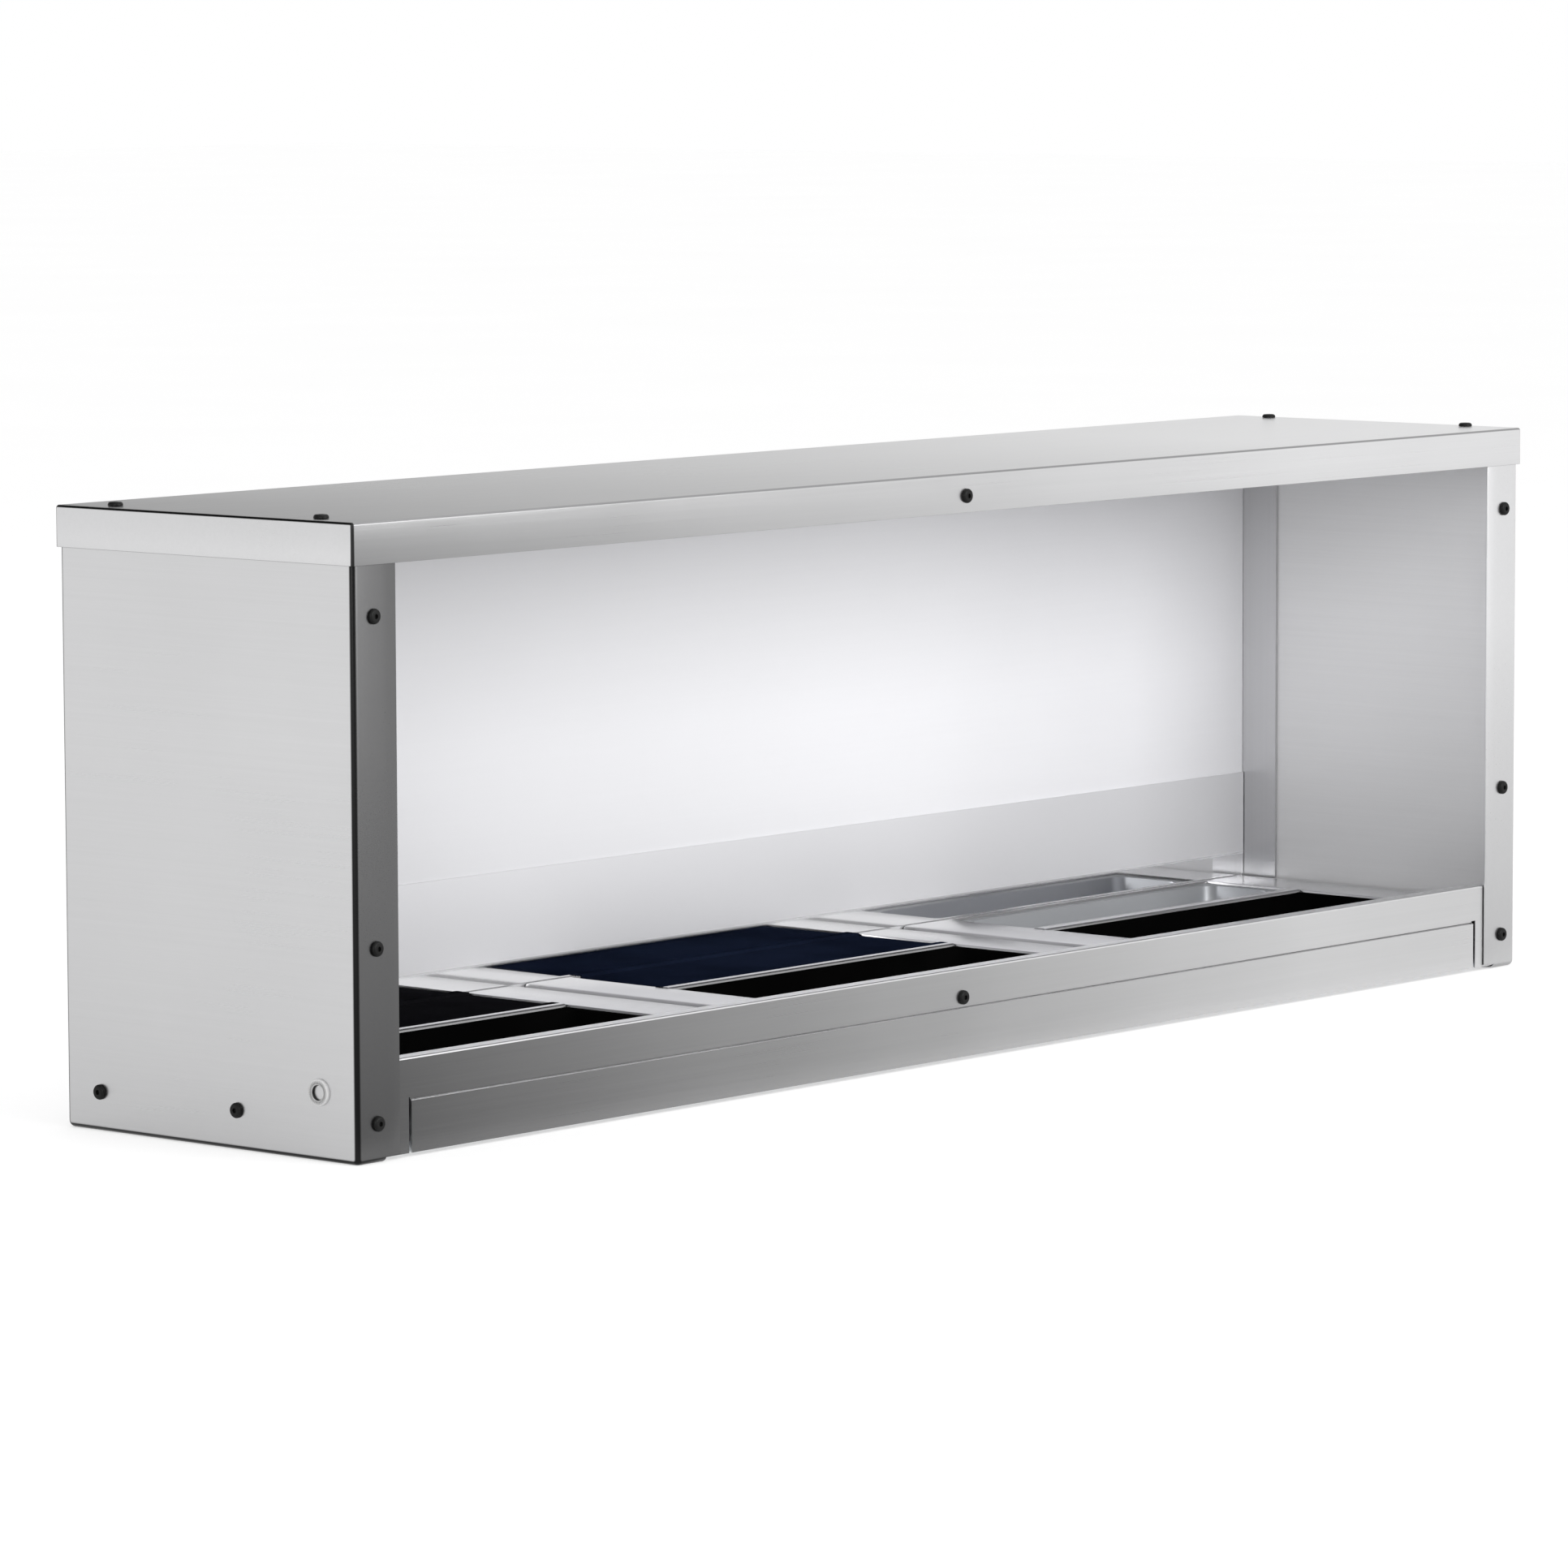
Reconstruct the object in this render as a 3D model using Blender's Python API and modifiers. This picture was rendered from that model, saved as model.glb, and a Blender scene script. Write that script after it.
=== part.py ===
"""Long, low stainless cabinet: an open-fronted sheet-metal body over a three-bay heated towel deck.

Metres, +Z up, +X along the length. The origin is at the bottom centre, and the open front faces -Y.
"""

import math

import bmesh
import bpy
from mathutils import Vector

MM = 0.001

# Driving sizes
LENGTH = 1200 * MM
DEPTH = 254 * MM
HEIGHT = 387 * MM
SHEET = 1.2 * MM
FRAME_SHEET = 2.0 * MM
GAP = 0.3 * MM
STEP = SHEET + GAP

# Outer planes, from the outside inwards: cover, end panels, front rail, parts behind the rail
FRONT = -DEPTH / 2
PANEL_FRONT = FRONT + STEP
RAIL_FRONT = PANEL_FRONT + STEP + GAP
INNER_FRONT = RAIL_FRONT + STEP
PANEL_BACK = -PANEL_FRONT
PANEL_END = LENGTH / 2 - STEP
UPRIGHT_END = PANEL_END - STEP
INNER_END = UPRIGHT_END - FRAME_SHEET - GAP
PANEL_TOP = HEIGHT - STEP
FRAME_TOP = PANEL_TOP - STEP
BACK_WALL = FRONT + 245 * MM

# Shell folds
COVER_LIP = 26 * MM
PANEL_RETURN = 25 * MM
POST_WIDTH = 37 * MM
UPRIGHT_LEG = 30 * MM
FRONT_WALL_LEG = 18 * MM

# Front rail and skirt
RAIL_TOP = 61 * MM
RAIL_BOTTOM = 2.5 * MM
RAIL_SEAM = 36.5 * MM
RAIL_FOOT = 48 * MM
RAIL_LIP = 12 * MM
SKIRT_GAP = 2.5 * MM
SPLASH_TOP = 124 * MM

# Deck
DECK_TOP = 48 * MM
DECK_SKIRT = 10 * MM
DECK_FRONT = FRONT + 9.3 * MM
DECK_BACK = FRONT + 243.2 * MM
SEAM_X = 195 * MM
SEAM_GAP = 3 * MM
BEARER_TOP = DECK_TOP - DECK_SKIRT - GAP
BEARER_FRONT = INNER_FRONT + FRAME_SHEET + STEP
OPENING_WIDTH = 296 * MM
OPENING_FRONT = FRONT + 36 * MM
OPENING_BACK = FRONT + 238.5 * MM
REBATE = 3 * MM
REBATE_DRAFT = 0.1 * MM
LEDGE = 6 * MM
INSERT_CLEAR = 0.5 * MM
BAR_FRONT = FRONT + 152 * MM
BAR_BACK = FRONT + 164 * MM
TRAY_RIM = LEDGE + 2.2 * MM
TRAY_DEPTH = 24 * MM
PAN_DEPTH = 34 * MM
PAN_TAPER = 6 * MM
PLATE_THICKNESS = 1.5 * MM
NOTCH_RADIUS = 9 * MM

# Base
BASE_BOTTOM = 2 * MM
BASE_WALL = 32 * MM
BASE_FLOOR = BASE_BOTTOM + SHEET

# Heating parts
MAT_SIZE = (246 * MM, 50 * MM, 2 * MM)
BRIDGE_WIDTH = 258 * MM
CUTOUT_RADIUS = 9 * MM
CUTOUT_HEIGHT = 8 * MM
BLOCK_SIZE = (44 * MM, 22 * MM, 16 * MM)
BUSH_RADIUS = 6.5 * MM
BUSH_BORE = 4 * MM
BUSH_FLANGE = 1.8 * MM
CABLE_ENTRY_Y = FRONT + 33 * MM
CABLE_ENTRY_Z = 42 * MM
CABLE_NOTCH = (18 * MM, 16 * MM)

# Screws: M5 pan heads
HEAD_RADIUS = 4.75 * MM
HEAD_HEIGHT = 2.4 * MM
SHANK_RADIUS = 2.5 * MM
HOLE_RADIUS = SHANK_RADIUS + GAP
POST_SCREW_X = LENGTH / 2 - 19 * MM
POST_SCREW_Z = {"upper": 330 * MM, "middle": 130 * MM, "lower": 24 * MM}
TOP_SCREW_INSET = (14 * MM, 39 * MM)
END_SCREW_Y = {"front": FRONT + 103 * MM, "rear": FRONT + 222 * MM}
END_SCREW_Z = 24.5 * MM
MIDDLE_SCREW_X = -25 * MM
HEADER_SCREW_Z = 372 * MM
RAIL_SCREW_Z = 42 * MM

BAYS = {
    "left": (-INNER_END, -SEAM_X - SEAM_GAP / 2),
    "middle": (-SEAM_X + SEAM_GAP / 2, SEAM_X - SEAM_GAP / 2),
    "right": (SEAM_X + SEAM_GAP / 2, INNER_END),
}
SIDES = {"left": -1, "right": 1}
AXES = {"X": 0, "Y": 1, "Z": 2}

QUARTER = math.pi / 2
TURNS = {
    "-Y": (QUARTER, 0, 0),
    "+Z": (0, 0, 0),
    "-X": (0, -QUARTER, 0),
    "+X": (0, QUARTER, 0),
}

for old in list(bpy.data.objects):
    bpy.data.objects.remove(old, do_unlink=True)

cabinet = bpy.data.collections.new("towel_cabinet")
cutters = bpy.data.collections.new("cutters")
for collection in (cabinet, cutters):
    bpy.context.scene.collection.children.link(collection)
cutters.hide_render = True


def principled(name, colour, roughness, metallic):
    material = bpy.data.materials.new(name)
    material.use_nodes = True
    shader = material.node_tree.nodes["Principled BSDF"]
    shader.inputs["Base Color"].default_value = (*colour, 1)
    shader.inputs["Roughness"].default_value = roughness
    shader.inputs["Metallic"].default_value = metallic
    return material


FINISHES = {
    "satin_steel": ((0.62, 0.62, 0.63), 0.34, 1),
    "polished_steel": ((0.74, 0.74, 0.76), 0.08, 1),
    "galvanised_steel": ((0.5, 0.51, 0.52), 0.5, 1),
    "black_screw": ((0.012, 0.012, 0.012), 0.4, 0.6),
    "black_enamel": ((0.008, 0.008, 0.009), 0.35, 0),
    "navy_enamel": ((0.008, 0.011, 0.028), 0.3, 0),
    "heater_rubber": ((0.3, 0.08, 0.03), 0.7, 0),
    "black_plastic": ((0.02, 0.02, 0.02), 0.5, 0),
    "white_plastic": ((0.7, 0.7, 0.68), 0.5, 0),
}


def add(name, mesh, finish):
    """A cabinet part with a material of its own."""
    mesh.materials.append(principled(name, *FINISHES[finish]))
    part = bpy.data.objects.new(name, mesh)
    cabinet.objects.link(part)
    return part


def mesh_of(name, bm):
    mesh = bpy.data.meshes.new(name)
    bm.to_mesh(mesh)
    bm.free()
    return mesh


def solidify(part, thickness, offset):
    shell = part.modifiers.new("sheet", "SOLIDIFY")
    shell.thickness = thickness
    shell.offset = offset
    shell.use_even_offset = True


def soften(part, radius):
    """Rounds the folds of an open sheet before it is given its thickness."""
    bend = part.modifiers.new("bend", "BEVEL")
    bend.width = radius
    bend.segments = 2
    bend.limit_method = "ANGLE"
    bend.angle_limit = math.radians(30)


def block_of(low, high):
    """A box as a bmesh around its own middle, and where that middle goes."""
    size = [abs(b - a) for a, b in zip(low, high)]
    middle = [(a + b) / 2 for a, b in zip(low, high)]
    bm = bmesh.new()
    bmesh.ops.create_cube(bm, size=1)
    bmesh.ops.scale(bm, vec=size, verts=bm.verts)
    return bm, middle


def box(name, low, high, finish):
    bm, middle = block_of(low, high)
    part = add(name, mesh_of(name, bm), finish)
    part.location = middle
    return part


def folded(name, axis, span, profile, finish, thickness=SHEET, offset=1):
    """A sheet folded along `axis`: the profile holds the other two coordinates, in X, Y, Z order."""
    along = AXES[axis]
    start, end = span
    bm = bmesh.new()
    corners = []
    for point in profile:
        place = list(point)
        place.insert(along, start)
        corners.append(bm.verts.new(place))
    edges = [bm.edges.new(pair) for pair in zip(corners, corners[1:])]
    grown = bmesh.ops.extrude_edge_only(bm, edges=edges)["geom"]
    far = [item for item in grown if isinstance(item, bmesh.types.BMVert)]
    step = Vector((0, 0, 0))
    step[along] = end - start
    bmesh.ops.translate(bm, vec=step, verts=far)
    part = add(name, mesh_of(name, bm), finish)
    solidify(part, thickness, offset)
    return part


def rectangle(low, high):
    """One face in the XY plane, facing +Z, as a new bmesh."""
    bm = bmesh.new()
    bmesh.ops.create_grid(bm, x_segments=1, y_segments=1, size=0.5)
    bmesh.ops.scale(bm, vec=(high[0] - low[0], high[1] - low[1], 1), verts=bm.verts)
    middle = ((low[0] + high[0]) / 2, (low[1] + high[1]) / 2, 0)
    bmesh.ops.translate(bm, vec=middle, verts=bm.verts)
    return bm


def fold_down(bm, depth):
    """Turns every outer edge of a flat sheet down by `depth`, with closed corners."""
    rim = [edge for edge in bm.edges if edge.is_boundary]
    grown = bmesh.ops.extrude_edge_only(bm, edges=rim)["geom"]
    lower = [item for item in grown if isinstance(item, bmesh.types.BMVert)]
    bmesh.ops.translate(bm, vec=(0, 0, -depth), verts=lower)


def inset(bm, face, thickness):
    """Draws a frame of this width inside a face, and leaves `face` as what is inside it."""
    bmesh.ops.inset_region(
        bm, faces=[face], thickness=thickness, use_boundary=True, use_even_offset=True
    )


def cut(part, bm, point, turn=(0, 0, 0)):
    """Takes the closed shape in `bm` out of a part."""
    name = part.name + "_cutter"
    cutter = bpy.data.objects.new(name, mesh_of(name, bm))
    cutters.objects.link(cutter)
    cutter.hide_render = True
    cutter.display_type = "WIRE"
    cutter.location = point
    cutter.rotation_euler = turn
    opening = part.modifiers.new("opening", "BOOLEAN")
    opening.object = cutter


def drill(part, point, axis, radius=HOLE_RADIUS, length=24 * MM):
    """Cuts a round hole through a part, along one axis."""
    bm = bmesh.new()
    bmesh.ops.create_cone(
        bm, cap_ends=True, segments=12, radius1=radius, radius2=radius, depth=length
    )
    cut(part, bm, point, TURNS[axis])


def cut_box(part, low, high):
    cut(part, *block_of(low, high))


def turned(name, profile, steps, finish):
    """A solid turned about Z. The profile runs down its outer side, from top to bottom."""
    bm = bmesh.new()
    points = [bm.verts.new((radius, 0, height)) for radius, height in profile]
    for pair in zip(points, points[1:]):
        bm.edges.new(pair)
    part = add(name, mesh_of(name, bm), finish)
    lathe = part.modifiers.new("lathe", "SCREW")
    lathe.steps = steps
    lathe.render_steps = steps
    lathe.merge_threshold = 0.00001
    lathe.use_merge_vertices = True
    return part


def screw(name, point, direction, reach):
    """A pan-head screw whose head bears on `point` and whose shank runs `reach` into the cabinet."""
    arc = [math.radians(degrees) for degrees in (90, 62, 34, 0)]
    dome = [
        (HEAD_RADIUS * math.cos(a), GAP + HEAD_HEIGHT * (0.3 + 0.7 * math.sin(a)))
        for a in arc
    ]
    dome[0] = (0, dome[0][1])
    stem = [(HEAD_RADIUS, GAP), (SHANK_RADIUS, GAP), (SHANK_RADIUS, -reach), (0, -reach)]
    part = turned(name, dome + stem, 12, "black_screw")
    part.location = point
    part.rotation_euler = TURNS[direction]
    return part


def make_top_cover():
    bm = rectangle((-LENGTH / 2, FRONT), (LENGTH / 2, -FRONT))
    fold_down(bm, COVER_LIP)
    cover = add("top_cover", mesh_of("top_cover", bm), "satin_steel")
    cover.location.z = HEIGHT
    soften(cover, 1.6 * MM)
    solidify(cover, SHEET, -1)
    inset_x, inset_y = TOP_SCREW_INSET
    for side, end in SIDES.items():
        for row, edge in (("front", 1), ("rear", -1)):
            point = (end * (LENGTH / 2 - inset_x), edge * (FRONT + inset_y), HEIGHT)
            drill(cover, point, "+Z")
            screw(f"top_screw_{side}_{row}", point, "+Z", 6 * MM)
    drill(cover, (MIDDLE_SCREW_X, FRONT, HEADER_SCREW_Z), "-Y", length=8 * MM)


def make_end_panel(side, end):
    """The outer skin, folded in on all four edges, and further at the front to make the post."""
    bm = rectangle((-PANEL_TOP / 2, PANEL_FRONT), (PANEL_TOP / 2, PANEL_BACK))
    fold_down(bm, PANEL_RETURN)
    post = [
        edge
        for edge in bm.edges
        if edge.is_boundary and all(v.co.y < PANEL_FRONT + MM for v in edge.verts)
    ]
    grown = bmesh.ops.extrude_edge_only(bm, edges=post)["geom"]
    inner = [item for item in grown if isinstance(item, bmesh.types.BMVert)]
    bmesh.ops.translate(bm, vec=(0, 0, PANEL_RETURN - POST_WIDTH), verts=inner)
    name = side + "_end_panel"
    panel = add(name, mesh_of(name, bm), "satin_steel")
    panel.location = (end * PANEL_END, 0, PANEL_TOP / 2)
    panel.rotation_euler = (0, end * QUARTER, 0)
    soften(panel, 1.6 * MM)
    solidify(panel, SHEET, -1)
    inset_x, inset_y = TOP_SCREW_INSET
    for edge in (1, -1):
        point = (end * (LENGTH / 2 - inset_x), edge * (FRONT + inset_y), PANEL_TOP)
        drill(panel, point, "+Z")
    for height in POST_SCREW_Z.values():
        drill(panel, (end * POST_SCREW_X, PANEL_FRONT, height), "-Y")
    for place in END_SCREW_Y.values():
        drill(panel, (end * PANEL_END, place, END_SCREW_Z), "+X")
    return panel


def make_back():
    back = folded(
        "back_panel",
        "X",
        (-INNER_END, INNER_END),
        [
            (BACK_WALL + 6 * MM, 36 * MM),
            (BACK_WALL, 36 * MM),
            (BACK_WALL, FRAME_TOP),
            (BACK_WALL + 6 * MM, FRAME_TOP),
        ],
        "polished_steel",
        offset=-1,
    )
    soften_first(back)
    # Its folded edges stop short of the uprights, whose rear legs stand behind it.
    for end in SIDES.values():
        cut_box(
            back,
            (end * (UPRIGHT_END - UPRIGHT_LEG - GAP), BACK_WALL + SHEET + GAP / 2, 0),
            (end * LENGTH / 2, -FRONT, HEIGHT),
        )
    box(
        "rear_splash_strip",
        (-INNER_END + GAP, BACK_WALL - 1.3 * MM, DECK_TOP + GAP),
        (INNER_END - GAP, BACK_WALL - GAP, SPLASH_TOP),
        "polished_steel",
    )


def soften_first(part):
    """Adds the bend ahead of the sheet thickness."""
    soften(part, 1.2 * MM)
    part.modifiers.move(len(part.modifiers) - 1, 0)


def make_upright(side, end, row):
    """An angle in the corner: one leg along the end panel, the other along the front or the back."""
    wall = end * UPRIGHT_END
    if row == "front":
        plane = INNER_FRONT
        tip = INNER_FRONT + FRONT_WALL_LEG
        offset = -end
    else:
        plane = BACK_WALL + SHEET + GAP + FRAME_SHEET
        tip = BACK_WALL - UPRIGHT_LEG
        offset = end
    upright = folded(
        f"{row}_{side}_upright",
        "Z",
        (BASE_BOTTOM, FRAME_TOP - GAP),
        [(wall, tip), (wall, plane), (wall - end * UPRIGHT_LEG, plane)],
        "galvanised_steel",
        FRAME_SHEET,
        offset,
    )
    if row == "front":
        for height in POST_SCREW_Z.values():
            drill(upright, (end * POST_SCREW_X, plane, height), "-Y")
    else:
        drill(upright, (wall, END_SCREW_Y["rear"], END_SCREW_Z), "+X")


def make_front_rail():
    """The apron under the opening, with a rolled lip above and a foot at each end beside the skirt."""
    foot = LENGTH / 2 - RAIL_FOOT
    end = UPRIGHT_END - 2 * MM
    rail = folded(
        "front_rail",
        "X",
        (-end, end),
        [
            (RAIL_FRONT, RAIL_BOTTOM),
            (RAIL_FRONT, RAIL_TOP),
            (RAIL_FRONT + RAIL_LIP, RAIL_TOP),
            (RAIL_FRONT + RAIL_LIP, DECK_TOP + 2 * GAP),
        ],
        "satin_steel",
        offset=-1,
    )
    soften_first(rail)
    cut_box(
        rail,
        (-foot, RAIL_FRONT - 5 * MM, -5 * MM),
        (foot, RAIL_FRONT + 5 * MM, RAIL_SEAM),
    )
    # The lip stops short of the uprights, whose front legs stand behind the rail's ends.
    for facing in SIDES.values():
        cut_box(
            rail,
            (facing * (UPRIGHT_END - UPRIGHT_LEG - GAP), INNER_FRONT - GAP, RAIL_SEAM),
            (facing * LENGTH / 2, 0, RAIL_TOP + MM),
        )
        drill(rail, (facing * POST_SCREW_X, RAIL_FRONT, POST_SCREW_Z["lower"]), "-Y")
    drill(rail, (MIDDLE_SCREW_X, RAIL_FRONT, RAIL_SCREW_Z), "-Y", length=8 * MM)


def make_front_skirt():
    """The plate that closes the base below the rail. Its top edge steps back behind the rail."""
    foot = LENGTH / 2 - RAIL_FOOT - SKIRT_GAP
    seam = RAIL_SEAM - 1.2 * MM
    skirt = folded(
        "front_skirt",
        "X",
        (-foot, foot),
        [
            (RAIL_FRONT, RAIL_BOTTOM),
            (RAIL_FRONT, seam - MM),
            (INNER_FRONT, seam),
            (INNER_FRONT, RAIL_TOP - 9 * MM),
        ],
        "satin_steel",
        offset=-1,
    )
    drill(skirt, (MIDDLE_SCREW_X, INNER_FRONT, RAIL_SCREW_Z), "-Y", length=6 * MM)


def make_headers():
    """Angles under the front and back edges of the cover, and the rib between them."""
    end = UPRIGHT_END - UPRIGHT_LEG - MM
    front = folded(
        "front_header",
        "X",
        (-end, end),
        [
            (RAIL_FRONT, HEIGHT - COVER_LIP + MM),
            (RAIL_FRONT, FRAME_TOP),
            (RAIL_FRONT + 22 * MM, FRAME_TOP),
        ],
        "galvanised_steel",
        offset=-1,
    )
    drill(front, (MIDDLE_SCREW_X, RAIL_FRONT, HEADER_SCREW_Z), "-Y", length=6 * MM)
    folded(
        "rear_header",
        "X",
        (-end, end),
        [
            (BACK_WALL - GAP, HEIGHT - COVER_LIP + MM),
            (BACK_WALL - GAP, FRAME_TOP),
            (BACK_WALL - 22 * MM, FRAME_TOP),
        ],
        "galvanised_steel",
        offset=1,
    )
    folded(
        "top_cross_rib",
        "Y",
        (RAIL_FRONT + 22 * MM + GAP, BACK_WALL - 22 * MM - GAP),
        [
            (MIDDLE_SCREW_X - 15 * MM, FRAME_TOP - 12 * MM),
            (MIDDLE_SCREW_X - 15 * MM, PANEL_TOP),
            (MIDDLE_SCREW_X + 15 * MM, PANEL_TOP),
            (MIDDLE_SCREW_X + 15 * MM, FRAME_TOP - 12 * MM),
        ],
        "galvanised_steel",
        offset=1,
    )


def make_base_pan():
    """The floor of the cabinet, with its edges turned up."""
    back = BACK_WALL - 3 * MM
    bm = rectangle((-INNER_END, DECK_FRONT), (INNER_END, back))
    fold_down(bm, BASE_WALL)
    bmesh.ops.scale(bm, vec=(1, 1, -1), verts=bm.verts)
    bmesh.ops.reverse_faces(bm, faces=bm.faces)
    pan = add("base_pan", mesh_of("base_pan", bm), "galvanised_steel")
    pan.location.z = BASE_BOTTOM
    solidify(pan, SHEET, -1)
    for end in SIDES.values():
        for place in END_SCREW_Y.values():
            drill(pan, (end * INNER_END, place, END_SCREW_Z), "+X")
    clear_cable(pan)


def clear_cable(part):
    """Notches the end of a part where the supply cable comes through the left end panel."""
    width, height = CABLE_NOTCH
    cut_box(
        part,
        (-PANEL_END, CABLE_ENTRY_Y - width / 2, CABLE_ENTRY_Z + 4 * MM - height),
        (-INNER_END + 3 * MM, CABLE_ENTRY_Y + width / 2, CABLE_ENTRY_Z + 4 * MM),
    )


def make_bearers():
    """What the deck frames rest on: one bearer along the front, one along the back, and one at each seam."""
    foot = BASE_FLOOR + GAP
    end = INNER_END - SHEET - MM
    front = folded(
        "front_deck_bearer",
        "X",
        (-end, end),
        [
            (BEARER_FRONT, BEARER_TOP + 8 * MM),
            (BEARER_FRONT, BEARER_TOP),
            (INNER_FRONT + 22 * MM, BEARER_TOP),
            (INNER_FRONT + 22 * MM, foot),
        ],
        "galvanised_steel",
        offset=-1,
    )
    drill(front, (MIDDLE_SCREW_X, BEARER_FRONT, RAIL_SCREW_Z), "-Y", length=6 * MM)
    folded(
        "rear_deck_bearer",
        "X",
        (-end, end),
        [
            (DECK_BACK, BEARER_TOP),
            (DECK_BACK - 10 * MM, BEARER_TOP),
            (DECK_BACK - 10 * MM, foot),
        ],
        "galvanised_steel",
        offset=1,
    )
    for side, end in SIDES.items():
        middle = end * SEAM_X
        folded(
            f"{side}_seam_bearer",
            "Y",
            (INNER_FRONT + 22 * MM + STEP, DECK_BACK - 10 * MM - STEP),
            [
                (middle - 20 * MM, foot),
                (middle - 20 * MM, BEARER_TOP),
                (middle + 20 * MM, BEARER_TOP),
                (middle + 20 * MM, foot),
            ],
            "galvanised_steel",
            offset=1,
        )


def opening_of(bay):
    start, end = BAYS[bay]
    middle = (start + end) / 2
    return middle - OPENING_WIDTH / 2, middle + OPENING_WIDTH / 2


def make_bay_frame(bay):
    """A deck plate with turned-down edges and one opening, whose rebate carries the inserts."""
    start, end = BAYS[bay]
    left, right = opening_of(bay)
    bm = rectangle((start, DECK_FRONT), (end, DECK_BACK))
    hole = bm.faces[:][0]
    inset(bm, hole, 4 * MM)
    for vert in hole.verts:
        vert.co.x = left if vert.co.x < (left + right) / 2 else right
        vert.co.y = OPENING_FRONT if vert.co.y < 0 else OPENING_BACK
    inset(bm, hole, REBATE_DRAFT)
    bmesh.ops.translate(bm, vec=(0, 0, -REBATE), verts=hole.verts)
    inset(bm, hole, LEDGE)
    bmesh.ops.delete(bm, geom=[hole], context="FACES_ONLY")
    outer = [
        edge
        for edge in bm.edges
        if edge.is_boundary and all(abs(v.co.z) < MM / 10 for v in edge.verts)
    ]
    grown = bmesh.ops.extrude_edge_only(bm, edges=outer)["geom"]
    lower = [item for item in grown if isinstance(item, bmesh.types.BMVert)]
    bmesh.ops.translate(bm, vec=(0, 0, -DECK_SKIRT), verts=lower)
    name = bay + "_bay_frame"
    frame = add(name, mesh_of(name, bm), "satin_steel")
    frame.location.z = DECK_TOP
    solidify(frame, SHEET, -1)
    if bay == "left":
        clear_cable(frame)


def make_divider_bar(bay):
    """A fixed bar across the opening. It parts the front tray from the rear insert."""
    left, right = opening_of(bay)
    floor = DECK_TOP - REBATE + GAP
    folded(
        bay + "_divider_bar",
        "X",
        (left + INSERT_CLEAR, right - INSERT_CLEAR),
        [
            (BAR_FRONT, floor),
            (BAR_FRONT, DECK_TOP + 0.5 * MM),
            (BAR_BACK, DECK_TOP + 0.5 * MM),
            (BAR_BACK, floor),
        ],
        "satin_steel",
        offset=-1,
    )


def make_tray(name, bay, low_y, high_y, depth, taper, finish):
    """A pressed tray that hangs by its rim in the rebate of a deck opening."""
    left, right = opening_of(bay)
    low = (left + INSERT_CLEAR, low_y)
    high = (right - INSERT_CLEAR, high_y)
    bm = rectangle(low, high)
    floor = bm.faces[:][0]
    inset(bm, floor, TRAY_RIM)
    inset(bm, floor, taper)
    bmesh.ops.translate(bm, vec=(0, 0, -depth), verts=floor.verts)
    tray = add(name, mesh_of(name, bm), finish)
    tray.location.z = DECK_TOP - REBATE + GAP + SHEET
    soften(tray, 2 * MM)
    solidify(tray, SHEET, -1)


def make_warming_plate(bay, finish):
    """A flat plate that lies in the rear rebate, with a finger notch in its back corner."""
    left, right = opening_of(bay)
    bottom = DECK_TOP - REBATE + GAP
    plate = box(
        bay + "_warming_plate",
        (left + INSERT_CLEAR, BAR_BACK + INSERT_CLEAR, bottom),
        (right - INSERT_CLEAR, OPENING_BACK - INSERT_CLEAR, bottom + PLATE_THICKNESS),
        finish,
    )
    corner = (left + INSERT_CLEAR, OPENING_BACK - INSERT_CLEAR, bottom)
    drill(plate, corner, "+Z", radius=NOTCH_RADIUS)


def make_heater(bay):
    """The mat that warms a plate, the bridge that holds it up and the cut-out that guards it."""
    left, right = opening_of(bay)
    middle = (left + right) / 2
    centre = (BAR_BACK + OPENING_BACK) / 2
    mat_top = DECK_TOP - REBATE
    mat_bottom = mat_top - MAT_SIZE[2]
    bridge_top = mat_bottom - GAP
    box(
        bay + "_heater_mat",
        (middle - MAT_SIZE[0] / 2, centre - MAT_SIZE[1] / 2, mat_bottom),
        (middle + MAT_SIZE[0] / 2, centre + MAT_SIZE[1] / 2, mat_top),
        "heater_rubber",
    )
    folded(
        bay + "_heater_bridge",
        "Y",
        (centre - MAT_SIZE[1] / 2, centre + MAT_SIZE[1] / 2),
        [
            (middle - BRIDGE_WIDTH / 2, BASE_FLOOR + GAP),
            (middle - BRIDGE_WIDTH / 2, bridge_top),
            (middle + BRIDGE_WIDTH / 2, bridge_top),
            (middle + BRIDGE_WIDTH / 2, BASE_FLOOR + GAP),
        ],
        "galvanised_steel",
        offset=1,
    )
    cutout_top = bridge_top - SHEET - GAP
    cutout = turned(
        bay + "_thermal_cutout",
        [(0, 0), (CUTOUT_RADIUS, 0), (CUTOUT_RADIUS, -CUTOUT_HEIGHT), (0, -CUTOUT_HEIGHT)],
        16,
        "black_plastic",
    )
    cutout.location = (middle, centre, cutout_top)


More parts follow.
